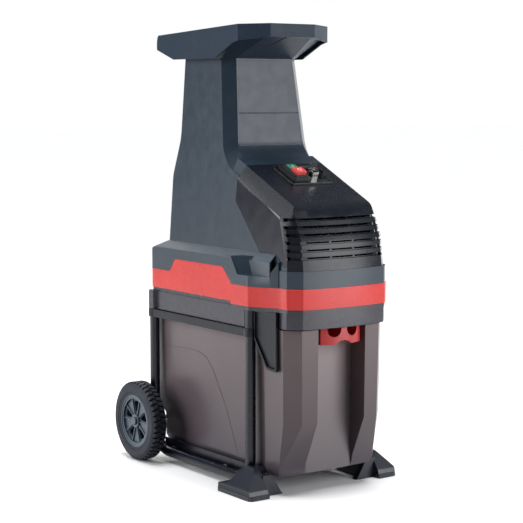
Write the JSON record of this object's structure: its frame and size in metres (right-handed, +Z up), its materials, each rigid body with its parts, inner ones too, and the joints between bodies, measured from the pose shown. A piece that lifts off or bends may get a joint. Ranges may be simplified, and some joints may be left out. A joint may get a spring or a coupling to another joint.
{
  "type": "wood chipper",
  "caption": "Quiet garden shredder: hopper and tower over a geared cutting roller, on a wheeled tubular frame with a sliding translucent collection box.",
  "frame": {"origin": "on the floor, under the middle of the bounding box", "axes": "+Z up, front with the collection box handle towards -Y, +X to the right seen from the front"},
  "size_m": [0.394, 0.6249, 0.9809],
  "materials": {
    "housing_plastic": "moulded blue-grey, fine matt grain",
    "panel_plastic": "moulded grey, smooth satin",
    "hood_plastic": "moulded near-black, satin",
    "side_panel_plastic": "moulded dark grey, polished",
    "band_plastic": "moulded red, satin gloss",
    "chassis_plastic": "moulded dark grey",
    "frame_paint": "black powder coat",
    "rail_plastic": "moulded black",
    "foot_plastic": "moulded black",
    "galvanised": "zinc plated",
    "tyre_rubber": "moulded black rubber",
    "hub_plastic": "moulded grey",
    "box_plastic": "smoked translucent, polished inside",
    "latch_plastic": "moulded red",
    "control_plastic": "moulded black",
    "green_button": "moulded green",
    "red_button": "moulded red",
    "bright_metal": "nickel plated",
    "machined_steel": "machined",
    "core_steel": "dark varnish",
    "cast_aluminium": "as cast",
    "capacitor_plastic": "moulded ivory"
  },
  "bodies": {
    "root": {"axle": "galvanised", "axle_spacer_left": "rail_plastic", "axle_spacer_right": "rail_plastic", "box_rail_left": "frame_paint", "box_rail_right": "frame_paint", "chassis": "chassis_plastic", "control_plate": "control_plastic", "crossbar_front": "frame_paint", "crossbar_rear": "frame_paint", "cutter_frame": "cast_aluminium", "feed_chute": "hood_plastic", "foot_left": "foot_plastic", "foot_right": "foot_plastic", "frame_tube_left": "frame_paint", "frame_tube_right": "frame_paint", "front_panel": "panel_plastic", "gearbox_case": "cast_aluminium", "gearbox_cover": "cast_aluminium", "gusset_left": "chassis_plastic", "gusset_right": "chassis_plastic", "hood_side_left": "side_panel_plastic", "hood_side_right": "side_panel_plastic", "hopper": "housing_plastic", "housing": "housing_plastic", "hub_cap_left": "hub_plastic", "hub_cap_right": "hub_plastic", "inlet_hinge": "control_plastic", "inlet_pins": "bright_metal", "inlet_shroud": "bright_metal", "motor_capacitor": "capacitor_plastic", "motor_end_front": "cast_aluminium", "motor_end_rear": "cast_aluminium", "motor_hood": "hood_plastic", "motor_stator": "core_steel", "red_band": "band_plastic", "roller_bearing_front": "machined_steel", "roller_bearing_rear": "machined_steel", "safety_switch": "control_plastic", "side_rail_left": "rail_plastic", "side_rail_right": "rail_plastic", "switch_box": "control_plastic"},
    "box": {"collection_box": "box_plastic"},
    "latch": {"box_latch": "latch_plastic"},
    "wheel_left": {"tyre_left": "tyre_rubber", "wheel_hub_left": "hub_plastic"},
    "wheel_right": {"tyre_right": "tyre_rubber", "wheel_hub_right": "hub_plastic"},
    "start_button": {"start_button": "green_button"},
    "stop_button": {"stop_button": "red_button"},
    "direction_knob": {"direction_knob": "control_plastic"},
    "inlet_cover": {"inlet_cover": "control_plastic"},
    "rotor": {"motor_rotor": "machined_steel", "motor_fan": "hood_plastic"},
    "gear_first": {"gear_first": "machined_steel"},
    "gear_second": {"gear_second": "machined_steel"},
    "roller": {"cutting_roller": "machined_steel", "gear_output": "machined_steel"},
    "counter_plate": {"counter_plate": "cast_aluminium"},
    "adjuster": {"adjusting_screw": "galvanised", "adjusting_knob": "rail_plastic"}
  },
  "joints": [
    {"name": "box_slide", "type": "slide", "parent": "root", "child": "box", "axis": [0, -1, 0], "range_m": [0, 0.34]},
    {"name": "latch_slide", "type": "slide", "parent": "box", "child": "latch", "axis": [0, 0, -1], "range_m": [0, 0.012], "stiffness_N_per_m": 300, "springref_m": -0.005},
    {"name": "wheel_left_spin", "type": "hinge", "parent": "root", "child": "wheel_left", "pos_m": [0, 0.2225, 0.09], "axis": [1, 0, 0], "continuous": true},
    {"name": "wheel_right_spin", "type": "hinge", "parent": "root", "child": "wheel_right", "pos_m": [0, 0.2225, 0.09], "axis": [1, 0, 0], "continuous": true},
    {"name": "start_press", "type": "slide", "parent": "root", "child": "start_button", "axis": [0, 0.4198, -0.9076], "range_m": [0, 0.003], "stiffness_N_per_m": 400, "springref_m": -0.002},
    {"name": "stop_press", "type": "slide", "parent": "root", "child": "stop_button", "axis": [0, 0.4198, -0.9076], "range_m": [0, 0.003], "stiffness_N_per_m": 400, "springref_m": -0.002},
    {"name": "direction_turn", "type": "hinge", "parent": "root", "child": "direction_knob", "pos_m": [0.049, -0.15365, 0.65743], "axis": [0, -0.4198, 0.9076], "range_deg": [-45, 45]},
    {"name": "inlet_cover_turn", "type": "hinge", "parent": "root", "child": "inlet_cover", "pos_m": [0.0255, -0.15637, 0.67523], "axis": [1, 0, 0], "range_deg": [0, 90]},
    {"name": "rotor_spin", "type": "hinge", "parent": "root", "child": "rotor", "pos_m": [0, -0.2, 0.508], "axis": [0, 1, 0], "continuous": true},
    {"name": "gear_first_spin", "type": "hinge", "parent": "root", "child": "gear_first", "pos_m": [0.0443, -0.13, 0.5002], "axis": [0, 1, 0], "continuous": true},
    {"name": "gear_second_spin", "type": "hinge", "parent": "root", "child": "gear_second", "pos_m": [0.0254, -0.12, 0.4594], "axis": [0, 1, 0], "continuous": true},
    {"name": "roller_spin", "type": "hinge", "parent": "root", "child": "roller", "pos_m": [-0.032, 0, 0.451], "axis": [0, 1, 0], "continuous": true},
    {"name": "adjuster_turn", "type": "hinge", "parent": "root", "child": "adjuster", "pos_m": [0.15, 0, 0.451], "axis": [1, 0, 0], "range_deg": [-246, 1028]},
    {"name": "counter_plate_slide", "type": "slide", "parent": "root", "child": "counter_plate", "axis": [1, 0, 0], "range_m": [-0.0012, 0.005]}
  ],
  "couplings": [
    {"joint": "gear_second_spin", "follows": "roller_spin", "ratio": -3.4615},
    {"joint": "gear_first_spin", "follows": "roller_spin", "ratio": 13.846},
    {"joint": "rotor_spin", "follows": "roller_spin", "ratio": -69.231},
    {"joint": "adjuster_turn", "follows": "counter_plate_slide", "rad_per_m": 3590.4}
  ]
}
